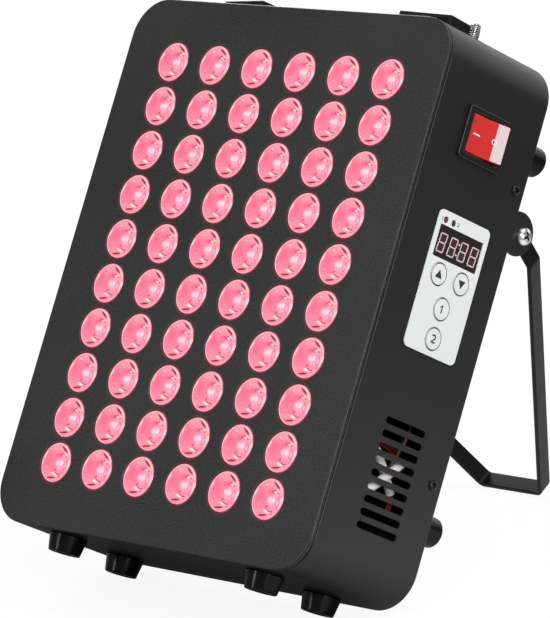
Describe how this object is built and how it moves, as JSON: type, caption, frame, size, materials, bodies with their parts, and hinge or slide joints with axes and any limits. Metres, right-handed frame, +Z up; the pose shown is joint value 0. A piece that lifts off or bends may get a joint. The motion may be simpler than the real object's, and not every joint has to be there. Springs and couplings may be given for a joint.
{
  "type": "red light therapy lamp",
  "caption": "Tabletop light panel with a grid of lens-topped lights, rear fans, side controls, hanging straps and a fold-out U-shaped stand.",
  "frame": {"origin": "middle of the bounding box's underside, on the table top under the leaning panel", "axes": "+X to the lamp's right side with the switch, seen from the front; +Y from the lights towards the stand; +Z up"},
  "size_m": [0.2486, 0.291, 0.3038],
  "materials": {
    "front_coat": "finely textured matt black powder coat on sheet steel",
    "casing_coat": "semi-matt black powder coat on sheet steel",
    "lens_pink": "clear moulded collimator lenses that glow pink over red lights",
    "bare_aluminium": "extruded, left bare",
    "plated_steel": "bright nickel plate",
    "black_screw": "blackened steel",
    "fan_plastic": "glass-filled black plastic",
    "black_plastic": "moulded black plastic, fine satin",
    "black_rubber": "glossy black moulded rubber",
    "stand_coat": "satin black powder coat on flat steel bar",
    "rocker_red": "translucent glossy red, lit from inside",
    "fascia_grey": "satin light grey overlay",
    "display_black": "smoked window",
    "key_grey": "satin light grey keys",
    "board_green": "solder-masked glass-fibre board",
    "supply_case": "light grey case",
    "terminal_white": "white moulded plastic",
    "wire_red": "smooth insulation",
    "wire_white": "smooth insulation",
    "wire_black": "smooth insulation"
  },
  "bodies": {
    "panel": {"board_nut_1": "plated_steel", "board_nut_2": "plated_steel", "board_nut_3": "plated_steel", "board_nut_4": "plated_steel", "control_board": "board_green", "control_fascia": "fascia_grey", "control_wire": "wire_white", "display_module": "display_black", "fan_left_frame": "fan_plastic", "fan_right_frame": "fan_plastic", "foot_1": "black_rubber", "foot_2": "black_rubber", "foot_3": "black_rubber", "foot_4": "black_rubber", "foot_screw_1": "plated_steel", "foot_screw_2": "plated_steel", "foot_screw_3": "plated_steel", "foot_screw_4": "plated_steel", "front_plate": "front_coat", "hanging_strap_left": "stand_coat", "hanging_strap_right": "stand_coat", "heat_sink": "bare_aluminium", "housing": "casing_coat", "inlet_screw_1": "black_screw", "inlet_screw_2": "black_screw", "led_board": "lens_pink", "light_wire": "wire_black", "mains_inlet": "black_plastic", "mains_wire": "wire_red", "pivot_nut_1": "plated_steel", "pivot_nut_2": "plated_steel", "pivot_screw_1": "plated_steel", "pivot_screw_2": "plated_steel", "power_supply": "supply_case", "rear_buffer_1": "black_rubber", "rear_buffer_2": "black_rubber", "rear_buffer_3": "black_rubber", "rear_buffer_4": "black_rubber", "rear_cover": "casing_coat", "side_screw_1": "black_screw", "side_screw_2": "black_screw", "side_screw_3": "black_screw", "side_screw_4": "black_screw", "strap_bolt_1": "plated_steel", "strap_bolt_2": "plated_steel", "strap_bolt_3": "plated_steel", "strap_bolt_4": "plated_steel", "supply_wire": "wire_white", "switch_body": "black_plastic", "switch_wire": "wire_red", "terminal_block": "terminal_white"},
    "stand": {"stand_bracket": "stand_coat"},
    "rocker": {"rocker": "rocker_red"},
    "fan_left": {"fan_left_rotor": "fan_plastic"},
    "fan_right": {"fan_right_rotor": "fan_plastic"},
    "key_up": {"button_up": "key_grey"},
    "key_down": {"button_down": "key_grey"},
    "key_red": {"button_red": "key_grey"},
    "key_infrared": {"button_infrared": "key_grey"}
  },
  "joints": [
    {"name": "stand_fold", "type": "hinge", "parent": "panel", "child": "stand", "pos_m": [-0.00105, 0.03784, 0.18097], "axis": [1, 0, 0], "range_deg": [-60.6, 94]},
    {"name": "rocker_tilt", "type": "hinge", "parent": "panel", "child": "rocker", "pos_m": [0.11735, 0.01574, 0.23747], "axis": [0, 0.5069, 0.862], "range_deg": [0, 18]},
    {"name": "fan_left_spin", "type": "hinge", "parent": "panel", "child": "fan_left", "pos_m": [-0.04505, 0.01307, 0.16074], "axis": [0, -0.862, 0.5069], "continuous": true},
    {"name": "fan_right_spin", "type": "hinge", "parent": "panel", "child": "fan_right", "pos_m": [0.04295, 0.01307, 0.16074], "axis": [0, -0.862, 0.5069], "continuous": true},
    {"name": "key_up_press", "type": "slide", "parent": "panel", "child": "key_up", "axis": [-1, 0, 0], "range_m": [0, 0.0005], "stiffness_N_per_m": 800, "springref_m": -0.0005},
    {"name": "key_down_press", "type": "slide", "parent": "panel", "child": "key_down", "axis": [-1, 0, 0], "range_m": [0, 0.0005], "stiffness_N_per_m": 800, "springref_m": -0.0005},
    {"name": "key_red_press", "type": "slide", "parent": "panel", "child": "key_red", "axis": [-1, 0, 0], "range_m": [0, 0.0005], "stiffness_N_per_m": 800, "springref_m": -0.0005},
    {"name": "key_infrared_press", "type": "slide", "parent": "panel", "child": "key_infrared", "axis": [-1, 0, 0], "range_m": [0, 0.0005], "stiffness_N_per_m": 800, "springref_m": -0.0005}
  ]
}
